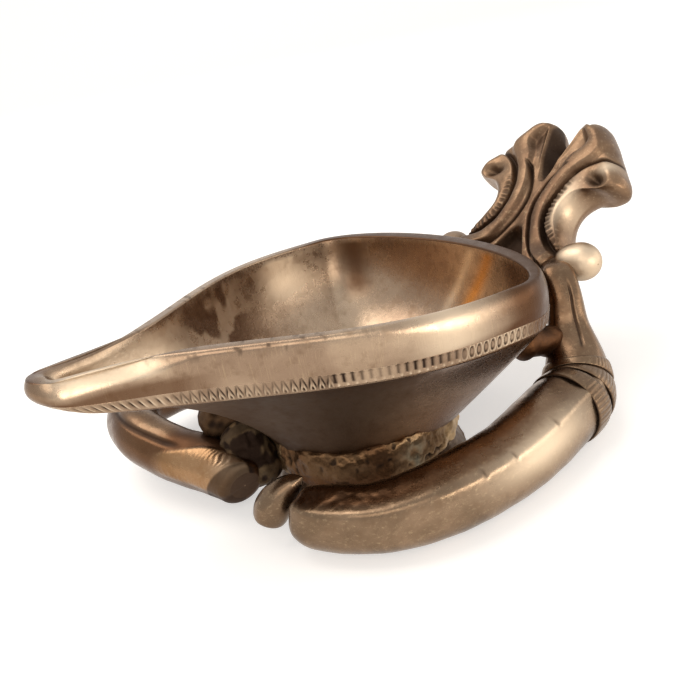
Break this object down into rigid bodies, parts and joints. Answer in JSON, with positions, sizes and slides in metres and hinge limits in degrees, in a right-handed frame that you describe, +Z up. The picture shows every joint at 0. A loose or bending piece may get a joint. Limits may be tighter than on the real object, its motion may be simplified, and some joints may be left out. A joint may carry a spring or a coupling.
{
  "type": "oil lamp",
  "caption": "Leaf-shaped brass oil lamp on a low round foot, with bars curling round the foot and a forked crest behind the bowl.",
  "frame": {"origin": "on the ground, under the middle of the bounding box", "axes": "+Z up, -X towards the spout, +X towards the crest"},
  "size_m": [0.1546, 0.1074, 0.0594],
  "materials": {
    "bowl_brass": "worn polish inside and on the band, dull below",
    "foot_brass": "dull cast brass",
    "arm_brass": "worn polish with dark hollows",
    "crest_brass": "dull brass with dark lines",
    "braze": "rough braze"
  },
  "bodies": {
    "root": {"bowl": "bowl_brass", "foot": "foot_brass", "foot_braze": "braze", "near_arm": "arm_brass", "far_arm": "arm_brass", "near_leg": "arm_brass", "far_leg": "arm_brass", "near_leg_braze": "braze", "far_leg_braze": "braze", "far_arm_braze": "braze", "near_elbow_band_1": "arm_brass", "near_elbow_band_2": "arm_brass", "near_elbow_band_3": "arm_brass", "far_elbow_band_1": "arm_brass", "far_elbow_band_2": "arm_brass", "far_elbow_band_3": "arm_brass", "crest": "crest_brass", "front_bud": "arm_brass"}
  },
  "joints": []
}
